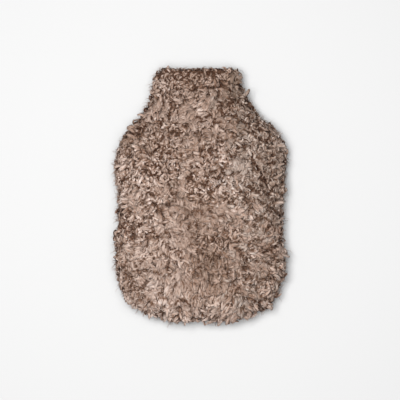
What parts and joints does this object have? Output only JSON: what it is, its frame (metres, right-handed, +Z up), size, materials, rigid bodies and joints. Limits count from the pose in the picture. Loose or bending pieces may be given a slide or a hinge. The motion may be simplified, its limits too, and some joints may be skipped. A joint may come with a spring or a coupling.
{
  "type": "hot water bottle cover",
  "caption": "Fleecy pouch with rounded shoulders and a straight neck that is open at its mouth, lying on its back.",
  "frame": {"origin": "centre of the footprint, on the surface that the back lies on", "axes": "+Y along the cover to the mouth of the neck, +X to the right seen from the front, +Z up out of the front face"},
  "size_m": [0.243, 0.3628, 0.0793],
  "materials": {
    "front_pile": "soft curly pile, taupe",
    "back_pile": "soft curly pile, taupe"
  },
  "bodies": {
    "root": {"front_panel": "front_pile", "back_panel": "back_pile"}
  },
  "joints": []
}
